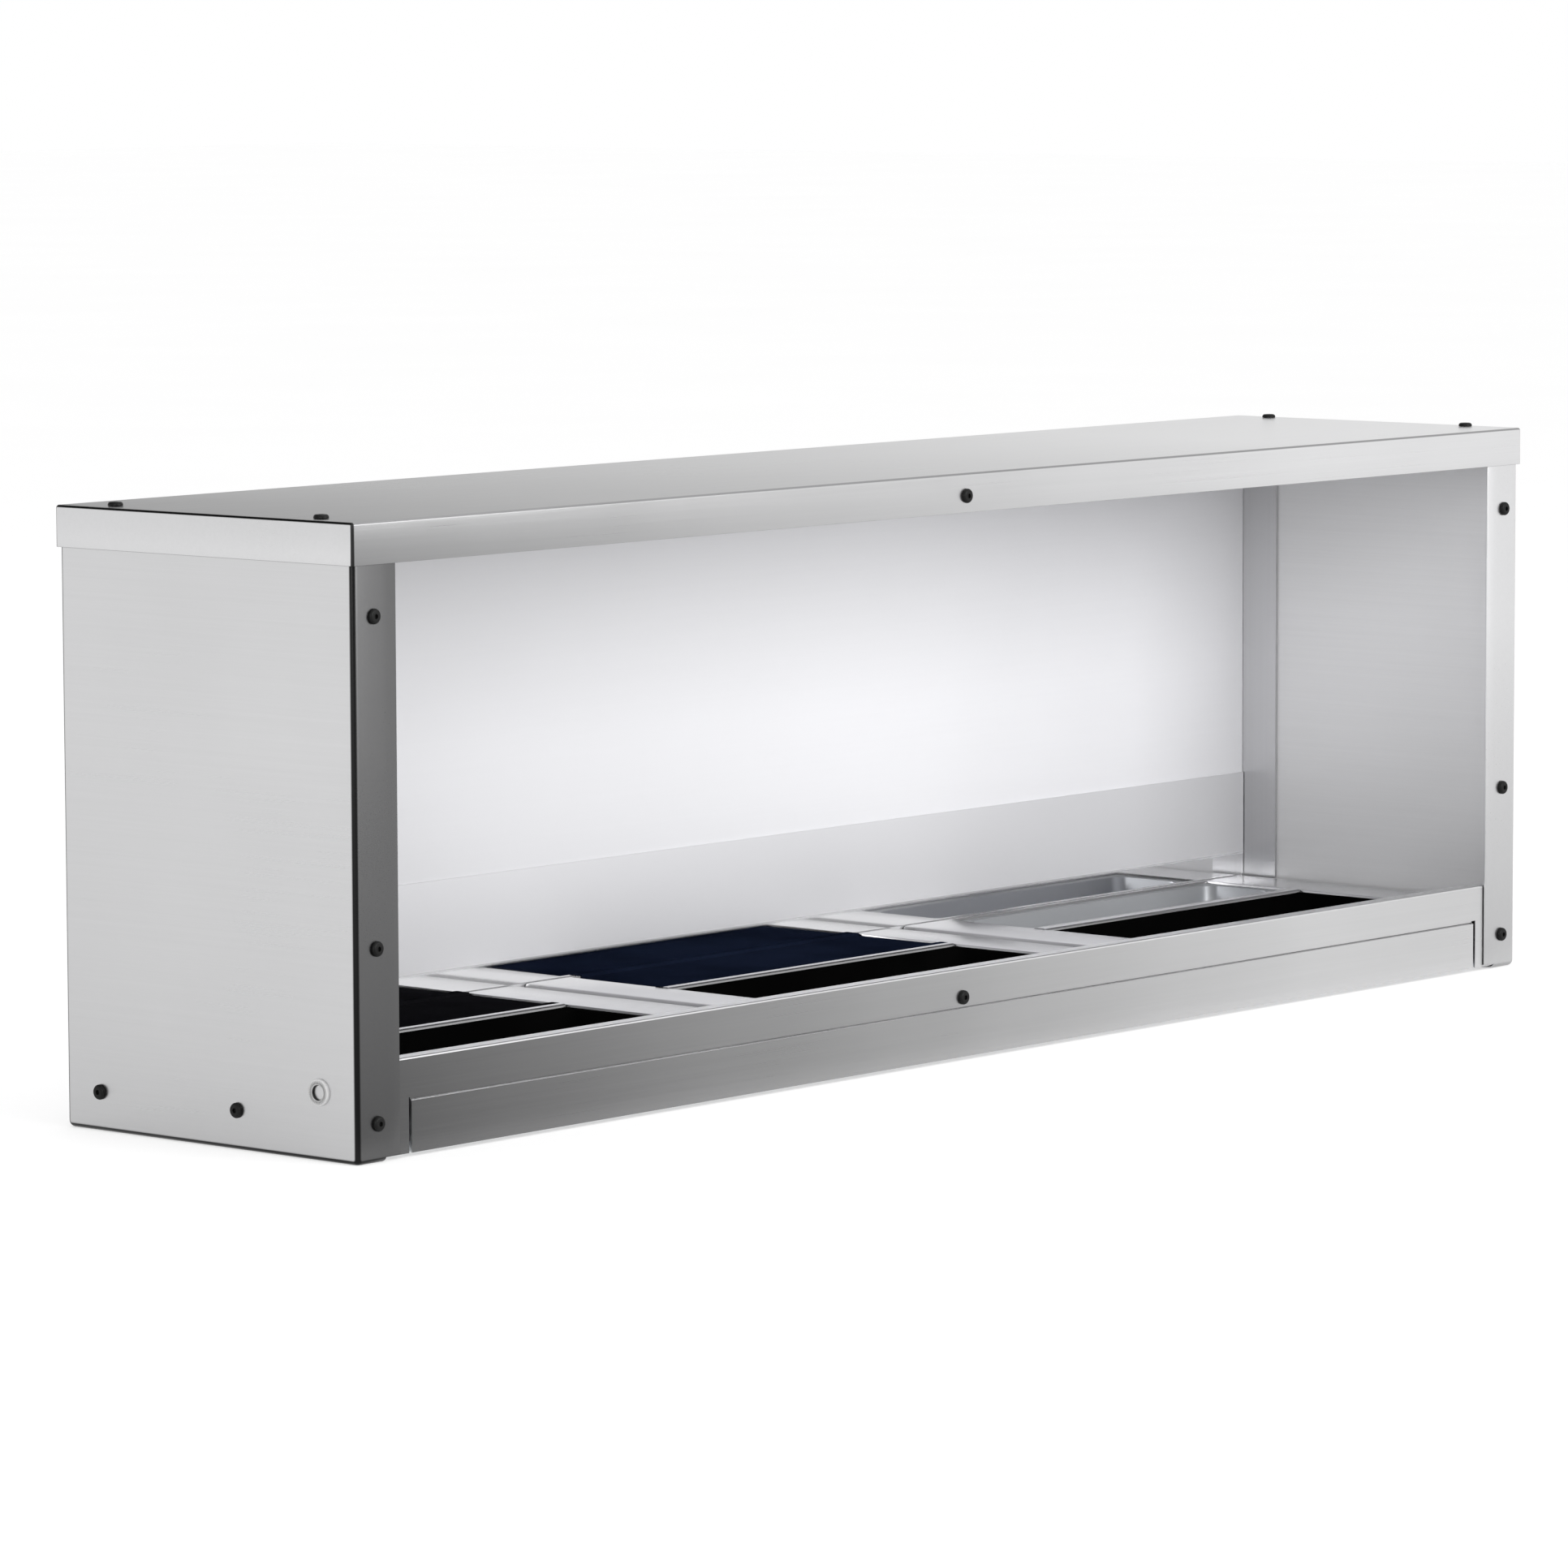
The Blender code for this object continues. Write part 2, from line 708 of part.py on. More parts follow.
def make_supply(panel):
    """Where the supply comes in: a bush in the left end and a terminal block on the base pan."""
    entry = Vector((-PANEL_END, CABLE_ENTRY_Y, CABLE_ENTRY_Z))
    drill(panel, entry, "-X", radius=BUSH_RADIUS + GAP)
    rim = BUSH_RADIUS + BUSH_FLANGE
    tail = STEP + SHEET
    bush = turned(
        "cable_entry_bush",
        [
            (BUSH_BORE, BUSH_FLANGE),
            (rim, BUSH_FLANGE),
            (rim, GAP),
            (BUSH_RADIUS, GAP),
            (BUSH_RADIUS, -tail),
            (BUSH_BORE, -tail),
            (BUSH_BORE, BUSH_FLANGE),
        ],
        20,
        "black_plastic",
    )
    bush.location = entry
    bush.rotation_euler = TURNS["-X"]
    low = Vector((-INNER_END + 18 * MM, FRONT + 48 * MM, BASE_FLOOR + GAP))
    box("terminal_block", low, low + Vector(BLOCK_SIZE), "white_plastic")


def make_screws():
    for side, end in SIDES.items():
        for level, height in POST_SCREW_Z.items():
            point = (end * POST_SCREW_X, PANEL_FRONT, height)
            screw(f"post_screw_{side}_{level}", point, "-Y", 7 * MM)
        for row, place in END_SCREW_Y.items():
            point = (end * PANEL_END, place, END_SCREW_Z)
            screw(f"end_screw_{side}_{row}", point, "+X" if end > 0 else "-X", 7 * MM)
    header = (MIDDLE_SCREW_X, FRONT, HEADER_SCREW_Z)
    screw("header_screw", header, "-Y", 7 * MM)
    rail = (MIDDLE_SCREW_X, RAIL_FRONT, RAIL_SCREW_Z)
    screw("rail_screw", rail, "-Y", 5.7 * MM)


make_top_cover()
panels = {side: make_end_panel(side, end) for side, end in SIDES.items()}
for side, end in SIDES.items():
    for row in ("front", "rear"):
        make_upright(side, end, row)
make_back()
make_front_rail()
make_front_skirt()
make_headers()
make_base_pan()
make_bearers()
for bay in BAYS:
    make_bay_frame(bay)
    make_divider_bar(bay)
    make_tray(
        bay + "_drip_tray",
        bay,
        OPENING_FRONT + INSERT_CLEAR,
        BAR_FRONT - INSERT_CLEAR,
        TRAY_DEPTH,
        3 * MM,
        "black_enamel",
    )
make_warming_plate("left", "black_enamel")
make_warming_plate("middle", "navy_enamel")
make_heater("left")
make_heater("middle")
make_tray(
    "water_pan",
    "right",
    BAR_BACK + INSERT_CLEAR,
    OPENING_BACK - INSERT_CLEAR,
    PAN_DEPTH,
    PAN_TAPER,
    "polished_steel",
)
make_supply(panels["left"])
make_screws()
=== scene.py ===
import math

import bpy
from mathutils import Euler, Matrix, Vector


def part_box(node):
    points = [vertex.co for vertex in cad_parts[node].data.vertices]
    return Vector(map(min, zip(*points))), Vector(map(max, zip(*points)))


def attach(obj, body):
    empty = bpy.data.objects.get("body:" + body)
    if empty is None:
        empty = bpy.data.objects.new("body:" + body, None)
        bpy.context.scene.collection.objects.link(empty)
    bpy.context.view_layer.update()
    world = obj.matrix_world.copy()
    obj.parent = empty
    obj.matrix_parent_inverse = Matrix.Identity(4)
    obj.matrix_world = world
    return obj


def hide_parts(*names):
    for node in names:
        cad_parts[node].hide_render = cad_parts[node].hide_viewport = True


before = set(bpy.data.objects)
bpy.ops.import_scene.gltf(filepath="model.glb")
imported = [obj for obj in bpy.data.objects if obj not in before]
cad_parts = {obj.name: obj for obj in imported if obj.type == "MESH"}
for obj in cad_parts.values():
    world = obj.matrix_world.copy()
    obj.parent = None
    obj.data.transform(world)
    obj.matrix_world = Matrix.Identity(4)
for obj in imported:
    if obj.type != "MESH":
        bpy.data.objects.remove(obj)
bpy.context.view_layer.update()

# Base pan, heater bridges and bearers.
# The pan closes the cabinet underneath. It and the bridges under the heaters are folded from
# galvanised sheet. The bearers that carry the deck are stainless sheet with a mill finish.

MM = 0.001
MILL_TONE = (0.60, 0.60, 0.61)
ZINC_TONE = (0.52, 0.54, 0.56)
# Painted shade on the steel: how far a face must look one way before its share starts and is full,
# and the span in X of its ramp.
SHARE_FROM = 0.90
SHARE_FULL = 0.99
SHADE_RAMP_LEFT = -0.6
SHADE_RAMP_RIGHT = 0.35
RISE_TOP = 0.25
HAIR_SCALE = 0.31


class Wire:
    """A socket in a finish. Sums and products of wires add Math nodes."""

    def __init__(self, tree, socket):
        self.tree = tree
        self.socket = socket

    def node(self, kind, settings=None, inputs=None, output=0):
        """Adds any node: its settings are set first, then its sockets."""
        made = self.tree.nodes.new("ShaderNode" + kind)
        for name, value in (settings or {}).items():
            if name == "stops":
                elements = made.color_ramp.elements
                while len(elements) < len(value):
                    elements.new(0.5)
                for element, (position, tone) in zip(elements, value):
                    element.position = position
                    element.color = (tone, tone, tone, 1)
            else:
                setattr(made, name, value)
        for name, value in (inputs or {}).items():
            if isinstance(value, Wire):
                self.tree.links.new(value.socket, made.inputs[name])
            else:
                made.inputs[name].default_value = value
        return Wire(self.tree, made.outputs[output])

    def maths(self, operation, first, second):
        return self.node("Math", {"operation": operation}, {0: first, 1: second})

    def __add__(self, other):
        return self.maths("ADD", self, other)

    def __radd__(self, other):
        return self.maths("ADD", other, self)

    def __sub__(self, other):
        return self.maths("SUBTRACT", self, other)

    def __rsub__(self, other):
        return self.maths("SUBTRACT", other, self)

    def __mul__(self, other):
        return self.maths("MULTIPLY", self, other)

    def __rmul__(self, other):
        return self.maths("MULTIPLY", other, self)

    def spread(self, low, high, new_low, new_high, way="SMOOTHSTEP"):
        """Carries a range of values over to another range, clamped."""
        return self.node(
            "MapRange",
            {"interpolation_type": way},
            {
                "Value": self,
                "From Min": low,
                "From Max": high,
                "To Min": new_low,
                "To Max": new_high,
            },
        )

    def blend(self, first, second):
        """Mixes two colours by this value."""
        return self.node("Mix", {"data_type": "RGBA"}, {0: self, 6: first, 7: second}, 2)


def new_finish(name, metallic=0.0):
    """An empty finish: its material, its shader node and its place on the object."""
    material = bpy.data.materials.new(name)
    material.use_nodes = True
    tree = material.node_tree
    shader = tree.nodes["Principled BSDF"]
    shader.inputs["Metallic"].default_value = metallic
    place = Wire(tree, tree.nodes.new("ShaderNodeTexCoord").outputs["Object"])
    return material, shader, place


def connect(shader, **wires):
    for name, wire in wires.items():
        wire.tree.links.new(wire.socket, shader.inputs[name.replace("_", " ")])


def steel(
    name,
    tone,
    roughness,
    grain=(6, 900, 900),
    front=None,
    rear=None,
    top=None,
    outside=None,
    inside=None,
    rise=None,
    corner=None,
    relief=0.05,
    wear=0.06,
):
    """Stainless sheet, ground in one direction.

    Faces that look to the front, to the rear or up may have a tone of their own: a share of the
    main tone, at the left and at the right. Outside and inside are the direction in X that end
    faces look in, with their share. Rise is the share at the foot and higher up, and corner is
    the share of all that turns to the left. The shares are fitted painted shading. They
    stand in for what grain and reflections do to each fold.
    """
    material, shader, place = new_finish(name, 1.0)
    along = place.node("Mapping", None, {"Vector": place, "Scale": grain})
    lines = place.node("TexNoise", None, {"Vector": along, "Scale": 1.0, "Detail": 4.0})
    wide = tuple(value * HAIR_SCALE for value in grain)
    hairs = place.node("Mapping", None, {"Vector": place, "Scale": wide})
    hairs = place.node("TexNoise", None, {"Vector": hairs, "Scale": 1.0, "Detail": 2.0})
    clouds = place.node("TexNoise", None, {"Vector": place, "Scale": 7.0, "Detail": 3.0})
    mottle = (lines - 0.5) * wear + (clouds - 0.5) * (wear * 1.3) + (hairs - 0.5) * (wear * 0.6)
    across = place.node("SeparateXYZ", None, {"Vector": place})
    facing = place.node("NewGeometry", None, None, 1)
    level = mottle + 1.0
    # Painted shade: faces that turn to the left even a little are darkened by the corner share.
    if corner:
        sideways = facing.node("SeparateXYZ", None, {"Vector": facing}) * -1.0
        level = level * (sideways.spread(0.05, 0.15, 0.0, 1.0) * (corner - 1.0) + 1.0)
    # Painted shade: faces that look to the front, to the rear or up get lighter or darker in a
    # ramp from left to right.
    for index, share, side in ((1, front, -1), (1, rear, 1), (2, top, 1)):
        if share:
            turned = facing.node("SeparateXYZ", None, {"Vector": facing}, index) * side
            mask = turned.spread(SHARE_FROM, SHARE_FULL, 0.0, 1.0)
            shade_ramp = across.spread(SHADE_RAMP_LEFT, SHADE_RAMP_RIGHT, *share, "LINEAR")
            level = level * (mask * (shade_ramp - 1.0) + 1.0)
    rough = (lines - 0.5) * 0.10 + (clouds - 0.5) * 0.08 + roughness
    # Painted shade: end faces that look outwards or inwards get a share of their own.
    for end_share in (outside, inside):
        if end_share:
            way, share = end_share
            turned = facing.node("SeparateXYZ", None, {"Vector": facing}) * way
            mask = turned.spread(SHARE_FROM, SHARE_FULL, 0.0, 1.0)
            level = level * (mask * (share - 1.0) + 1.0)
    if inside:
        rough = rough + mask * 0.12
        connect(shader, Metallic=1.0 - mask * 0.55)
    # Painted shade that changes with height, from the foot up to RISE_TOP.
    if rise:
        height = place.node("SeparateXYZ", None, {"Vector": place}, 2)
        level = level * height.spread(0.0, RISE_TOP, *rise, "LINEAR")
    lightest = max(tone)
    hue = tuple(value / lightest for value in tone) + (1.0,)
    colour = (level * lightest).blend((0.0, 0.0, 0.0, 1.0), hue)
    bump = place.node("Bump", None, {"Strength": relief, "Distance": 0.0004, "Height": lines})
    connect(shader, Base_Color=colour, Roughness=rough, Normal=bump)
    return material


def finish_nodes(material, *names):
    """Gives carried-over CAD nodes a finish."""
    for name in names:
        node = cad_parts[name]
        for slot in node.material_slots:
            slot.material = material
        if not node.material_slots:
            node.data.materials.append(material)


def zinc(name):
    """Hot-dip galvanised sheet with a soft spangle."""
    material, shader, place = new_finish(name, 1.0)
    flakes = place.node("TexVoronoi", None, {"Vector": place, "Scale": 130.0}, 1)
    bright = place.node("SeparateColor", None, {"Color": flakes})
    clouds = place.node("TexNoise", None, {"Vector": place, "Scale": 20.0, "Detail": 3.0})
    colour = (bright * 0.5 + clouds * 0.5).blend(
        tuple(value * 0.75 for value in ZINC_TONE) + (1.0,),
        tuple(value * 1.15 for value in ZINC_TONE) + (1.0,),
    )
    connect(shader, Base_Color=colour, Roughness=bright * 0.2 + 0.35)
    return material


finish_nodes(zinc("galvanised_sheet"), "base_pan", "left_heater_bridge", "middle_heater_bridge")
finish_nodes(
    steel("mill_steel", MILL_TONE, 0.38),
    "front_deck_bearer",
    "rear_deck_bearer",
    "left_seam_bearer",
    "right_seam_bearer",
)

# Uprights, headers and top rib.
# Four folded angles and two headers make the frame inside the shell. They are stainless sheet,
# hidden but for the edges that show in the open front.

finish_nodes(
    steel("frame_steel", (0.58, 0.58, 0.59), 0.34, grain=(900, 900, 6)),
    "front_left_upright",
    "front_right_upright",
    "rear_left_upright",
    "rear_right_upright",
)
finish_nodes(
    steel("header_steel", (0.62, 0.62, 0.63), 0.34), "front_header", "rear_header", "top_cross_rib"
)

# Back panel and rear splash strip.
# One sheet closes the back, polished on the inside so that it throws light on the towels. The
# splash strip in front of its foot is a mirror up to MIRROR_TOP and satin above.

# Painted shade: the back's inner face is darker at the left and lighter at the right.
back_steel = steel(
    "polished_back", (0.70, 0.70, 0.72), 0.36, front=(0.84, 1.25), relief=0.02, wear=0.02
)
back_steel.node_tree.nodes["Principled BSDF"].inputs["Metallic"].default_value = 0.35
finish_nodes(back_steel, "back_panel")

MIRROR_TOP = 0.062
SATIN_FROM = 0.066

material, shader, place = new_finish("mirror_strip")
clouds = place.node("TexNoise", None, {"Vector": place, "Scale": 9.0, "Detail": 3.0})
satin = place.node("SeparateXYZ", None, {"Vector": place}, 2)
satin = satin.spread(MIRROR_TOP, SATIN_FROM, 0.0, 1.0)
bright = clouds.blend((0.91, 0.91, 0.93, 1), (0.95, 0.95, 0.96, 1))
connect(
    shader,
    Base_Color=satin.blend(bright, (0.69, 0.69, 0.71, 1)),
    Roughness=satin * 0.30 + (clouds * 0.02 + 0.03),
    Metallic=1.0 - satin * 0.65,
)
finish_nodes(material, "rear_splash_strip")


def select_none():
    for thing in bpy.context.selected_objects:
        thing.select_set(False)


def sheet_between(name, low, high, turn=(0, 0, 0)):
    """Adds a flat sheet that fills a box with one side of no length."""
    select_none()
    low, high = Vector(low), Vector(high)
    bpy.ops.mesh.primitive_plane_add(size=1, location=(low + high) / 2, rotation=turn)
    piece = bpy.context.object
    piece.name = piece.data.name = name
    bpy.ops.object.transform_apply(location=True, rotation=True, scale=True)
    centre = (low + high) / 2
    for vert in piece.data.vertices:
        for axis in range(3):
            side = vert.co[axis] - centre[axis]
            if abs(side) > 0.1 and high[axis] > low[axis]:
                vert.co[axis] = high[axis] if side > 0 else low[axis]
    return piece


def pick(piece, kind, test):
    """Opens a piece and selects its faces or edges by a test on place."""
    if piece.mode != "EDIT":
        bpy.ops.object.mode_set(mode="EDIT")
    bpy.ops.mesh.select_mode(type=kind)
    bpy.ops.mesh.select_all(action="DESELECT")
    bpy.ops.object.mode_set(mode="OBJECT")
    mesh = piece.data
    if kind == "FACE":
        for face in mesh.polygons:
            face.select = test(face.center, face.normal)
    else:
        for edge in mesh.edges:
            edge.select = test(*(mesh.vertices[index].co for index in edge.vertices))
    bpy.ops.object.mode_set(mode="EDIT")


def close(piece):
    bpy.ops.mesh.select_all(action="SELECT")
    bpy.ops.mesh.remove_doubles(threshold=0.00001)
    bpy.ops.mesh.normals_make_consistent(inside=False)
    bpy.ops.object.mode_set(mode="OBJECT")


def modify(piece, kind, **settings):
    """Adds a modifier and applies it at once."""
    modifier = piece.modifiers.new(kind.lower(), kind)
    for name, value in settings.items():
        setattr(modifier, name, value)
    bpy.context.view_layer.objects.active = piece
    bpy.ops.object.modifier_apply(modifier=modifier.name)


def finish_piece(piece, material, body, slot, *nodes, smooth=35):
    select_none()
    piece.select_set(True)
    bpy.context.view_layer.objects.active = piece
    bpy.ops.object.shade_smooth_by_angle(angle=math.radians(smooth))
    piece.data.materials.clear()
    piece.data.materials.append(material)
    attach(piece, body)
    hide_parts(*nodes)


# End panels.
# Each end is one stainless sheet, folded in on all four edges. The front fold is wider and
# makes the corner post, which the post screws hold to the upright behind it.

SHEET = 1.2 * MM
PANEL_BEND = 4.2 * MM
RIM_SOFTNESS = 0.25 * MM
POST_WIDTH = 37 * MM
PANEL_RETURN = 25 * MM
NEAR = 0.1 * MM
# Tones of the bends, the face, the post and the inside, with painted shade: lit and shaded copies
# of one sheet. The left bends are painted near black, a painted dark line of shade at the folds.
END_SHADED_TONES = {"left": (0.020, 0.62, 0.145, 0.65), "right": (0.45, 0.55, 0.58, 0.63)}
# Painted shade: each end is darker at the foot and lighter higher up.
END_RISE = {"left": (0.80, 1.0), "right": (0.84, 1.22)}

for side, end in (("left", -1), ("right", 1)):
    low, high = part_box(side + "_end_panel")
    outer = low.x if end < 0 else high.x
    piece = sheet_between(
        side + "_end_skin",
        (outer, low.y, low.z),
        (outer, high.y, high.z),
        (0, end * math.pi / 2, 0),
    )
    pick(piece, "EDGE", lambda a, b: True)
    bpy.ops.mesh.extrude_edges_move(TRANSFORM_OT_translate={"value": (-end * POST_WIDTH, 0, 0)})
    pick(
        piece,
        "EDGE",
        lambda a, b: all(abs(v.x - outer) < NEAR for v in (a, b))
        or abs(a.x - b.x) > PANEL_RETURN,
    )
    bpy.ops.mesh.bevel(offset=PANEL_BEND, segments=6, affect="EDGES")
    fold = outer - end * PANEL_RETURN
    bpy.ops.mesh.select_all(action="SELECT")
    bpy.ops.mesh.bisect(plane_co=(fold, 0, 0), plane_no=(1, 0, 0))
    pick(
        piece,
        "FACE",
        lambda centre, normal: (centre.x - fold) * end < 0 and centre.y > low.y + NEAR,
    )
    bpy.ops.mesh.delete(type="FACE")
    close(piece)
    modify(piece, "SOLIDIFY", thickness=SHEET, offset=-1)
    modify(piece, "BEVEL", width=RIM_SOFTNESS, segments=2, limit_method="ANGLE", angle_limit=1.0)
    shaded_bend_tone, shaded_face_tone, shaded_post_tone, shaded_inner_tone = END_SHADED_TONES[side]
    material = steel(
        side + "_end_steel",
        (shaded_bend_tone, shaded_bend_tone, shaded_bend_tone * 1.01),
        0.30,
        grain=(900, 6, 900),
        front=(shaded_post_tone / shaded_bend_tone,) * 2,
        rear=(shaded_face_tone / shaded_bend_tone,) * 2,
        outside=(end, shaded_face_tone / shaded_bend_tone),
        inside=(-end, shaded_inner_tone / shaded_bend_tone),
        rise=END_RISE[side],
    )
    finish_piece(piece, material, "cabinet", "satin_steel", side + "_end_panel")

# Front rail and skirt.
# The rail below the opening is a folded stainless apron with a rounded top edge. The skirt
# closes the gap behind it down to the counter.

# Painted shade: the front faces of the rail and the skirt are much darker at the left end than at
# the right.
finish_nodes(
    steel("rail_steel", (0.66, 0.66, 0.665), 0.30, front=(0.17, 0.90), relief=0.06),
    "front_rail",
    "front_skirt",
)

# Bay frames.
# Three pressed deck frames stand side by side, each with one opening. They are bright stainless
# sheet with round shoulders at the seams, and a rebate round the opening carries the inserts.

SHOULDER = 8 * MM
SKIRT_DEPTH = 10 * MM
REBATE = 3 * MM
LEDGE = 6 * MM
PLAY = 0.5 * MM
INSERTS = {"left": "left_warming_plate", "middle": "middle_warming_plate", "right": "water_pan"}

# Painted shade: faces that look up are 2.1 times as light as the round shoulders and sides of the
# frames and the divider bars.
deck_steel = steel(
    "deck_steel", (0.30, 0.30, 0.305), 0.22, top=(2.1, 2.1), relief=0.03, wear=0.04
)
for bay, insert in INSERTS.items():
    low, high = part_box(bay + "_bay_frame")
    left, front = (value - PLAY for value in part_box(bay + "_drip_tray")[0].xy)
    right, back = (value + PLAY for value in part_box(insert)[1].xy)
    piece = sheet_between(bay + "_deck_frame", (low.x, low.y, high.z), high)
    bpy.ops.object.mode_set(mode="EDIT")
    for point, across in (
        ((left, 0, 0), (1, 0, 0)),
        ((right, 0, 0), (1, 0, 0)),
        ((0, front, 0), (0, 1, 0)),
        ((0, back, 0), (0, 1, 0)),
    ):
        bpy.ops.mesh.select_all(action="SELECT")
        bpy.ops.mesh.bisect(plane_co=point, plane_no=across)
    pick(piece, "FACE", lambda centre, n: left < centre.x < right and front < centre.y < back)
    bpy.ops.mesh.extrude_region_move(TRANSFORM_OT_translate={"value": (0, 0, -REBATE)})
    bpy.ops.mesh.inset(thickness=LEDGE)
    bpy.ops.mesh.delete(type="FACE")
    pick(
        piece,
        "EDGE",
        lambda a, b: any(
            abs(a[axis] - side[axis]) < NEAR and abs(b[axis] - side[axis]) < NEAR
            for axis in (0, 1)
            for side in (low, high)
        ),
    )
    bpy.ops.mesh.extrude_edges_move(TRANSFORM_OT_translate={"value": (0, 0, -SKIRT_DEPTH)})
    pick(
        piece,
        "EDGE",
        lambda a, b: all(abs(v.z - high.z) < NEAR for v in (a, b))
        and any(all(abs(v.x - side.x) < NEAR for v in (a, b)) for side in (low, high)),
    )
    bpy.ops.mesh.bevel(offset=SHOULDER, segments=5, affect="EDGES")
    close(piece)
    modify(piece, "SOLIDIFY", thickness=SHEET, offset=-1)
    modify(piece, "BEVEL", width=RIM_SOFTNESS, segments=2, limit_method="ANGLE", angle_limit=1.0)
    finish_piece(piece, deck_steel, "cabinet", "satin_steel", bay + "_bay_frame")

# Divider bars.
# A narrow stainless channel with round shoulders lies across each opening and parts the front
# tray from the rear insert. It is spot welded to the frame's ledge.

BAR_ROUND = 2.4 * MM
BAR_LENGTHWISE = 20 * MM

for bay in INSERTS:
    low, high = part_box(bay + "_divider_bar")
    piece = sheet_between(bay + "_divider", (low.x, low.y, high.z), high)
    pick(piece, "EDGE", lambda a, b: abs(a.x - b.x) > BAR_LENGTHWISE)
    bpy.ops.mesh.extrude_edges_move(TRANSFORM_OT_translate={"value": (0, 0, low.z - high.z)})
    pick(
        piece,
        "EDGE",
        lambda a, b: abs(a.x - b.x) > BAR_LENGTHWISE and min(a.z, b.z) > high.z - NEAR,
    )
    bpy.ops.mesh.bevel(offset=BAR_ROUND, segments=4, affect="EDGES")
    close(piece)
    modify(piece, "SOLIDIFY", thickness=SHEET, offset=-1)
    finish_piece(piece, deck_steel, "cabinet", "satin_steel", bay + "_divider_bar")

# Drip trays and water pan.
# Each is drawn from one sheet, with a flat rim that hangs on the ledge, round corners and a
# round foot. The trays are painted near black without gloss, as painted shade down in the slots;
# the pan is left bright.

TRAY_RIM = 8.2 * MM
CORNER_ROUND = 9 * MM
FOOT_ROUND = 3 * MM
TRAY_TAPER = 2 * MM
PAN_TAPER = 6 * MM


def enamel(name, tone, roughness):
    """Baked enamel on steel, with a faint orange-peel skin and a cloudy tone."""
    material, shader, place = new_finish(name)
    peel = place.node("TexNoise", None, {"Vector": place, "Scale": 420.0, "Detail": 2.0})
    clouds = place.node("TexNoise", None, {"Vector": place, "Scale": 14.0, "Detail": 4.0})
    dark = tuple(value * 0.8 for value in tone) + (1.0,)
    light = tuple(value * 1.25 for value in tone) + (1.0,)
    colour = clouds.spread(0.3, 0.7, 0.0, 1.0).blend(dark, light)
    bump = place.node("Bump", None, {"Strength": 0.06, "Distance": 0.0004, "Height": peel})
    connect(shader, Base_Color=colour, Roughness=(clouds - 0.5) * 0.2 + roughness, Normal=bump)
    shader.inputs["Specular IOR Level"].default_value = 0.0
    return material


def drawn_tray(name, node, material, body, slot, taper):
    low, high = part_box(node)
    depth = high.z - low.z - SHEET
    piece = sheet_between(name, (low.x, low.y, high.z), high)
    pick(piece, "FACE", lambda centre, normal: True)
    bpy.ops.mesh.inset(thickness=TRAY_RIM)
    bpy.ops.mesh.inset(thickness=taper, depth=-depth)
    foot = high.z - depth
    pick(piece, "EDGE", lambda a, b: abs(a.z - b.z) > depth / 2)
    bpy.ops.mesh.bevel(offset=CORNER_ROUND, segments=5, affect="EDGES")
    pick(piece, "EDGE", lambda a, b: all(abs(v.z - foot) < NEAR for v in (a, b)))
    bpy.ops.mesh.bevel(offset=FOOT_ROUND, segments=3, affect="EDGES")
    close(piece)
    modify(piece, "SOLIDIFY", thickness=SHEET, offset=-1)
    modify(piece, "BEVEL", width=RIM_SOFTNESS, segments=2, limit_method="ANGLE", angle_limit=0.9)
    finish_piece(piece, material, body, slot, node)


slot_shade_black = enamel("slot_shade_black", (0.0015, 0.0015, 0.0015), 0.6)
for bay in INSERTS:
    drawn_tray(
        bay + "_tray_drawn",
        bay + "_drip_tray",
        slot_shade_black,
        bay + "_tray",
        "black_enamel",
        TRAY_TAPER,
    )
drawn_tray(
    "water_pan_drawn",
    "water_pan",
    steel("pan_steel", (0.36, 0.37, 0.385), 0.45, relief=0.02),
    "pan",
    "satin_steel",
    PAN_TAPER,
)

# Warming plates.
# Two bays hold a flat enamelled plate over a heater, one black and one navy. Narrow flanges lap
# over the bar and the frame, and a finger notch in its back corner helps to lift it.

FLANGE_RISE = 1.8 * MM
REAR_REACH = 5.2 * MM
FRONT_REACH = 6.5 * MM
NOTCH_RADIUS = 9 * MM
CUTTER_HEIGHT = 20 * MM
PLATE_COLOURS = {"left": (0.005, 0.005, 0.006), "middle": (0.006, 0.009, 0.020)}
PLATE_SLOTS = {"left": "black_enamel", "middle": "navy_enamel"}

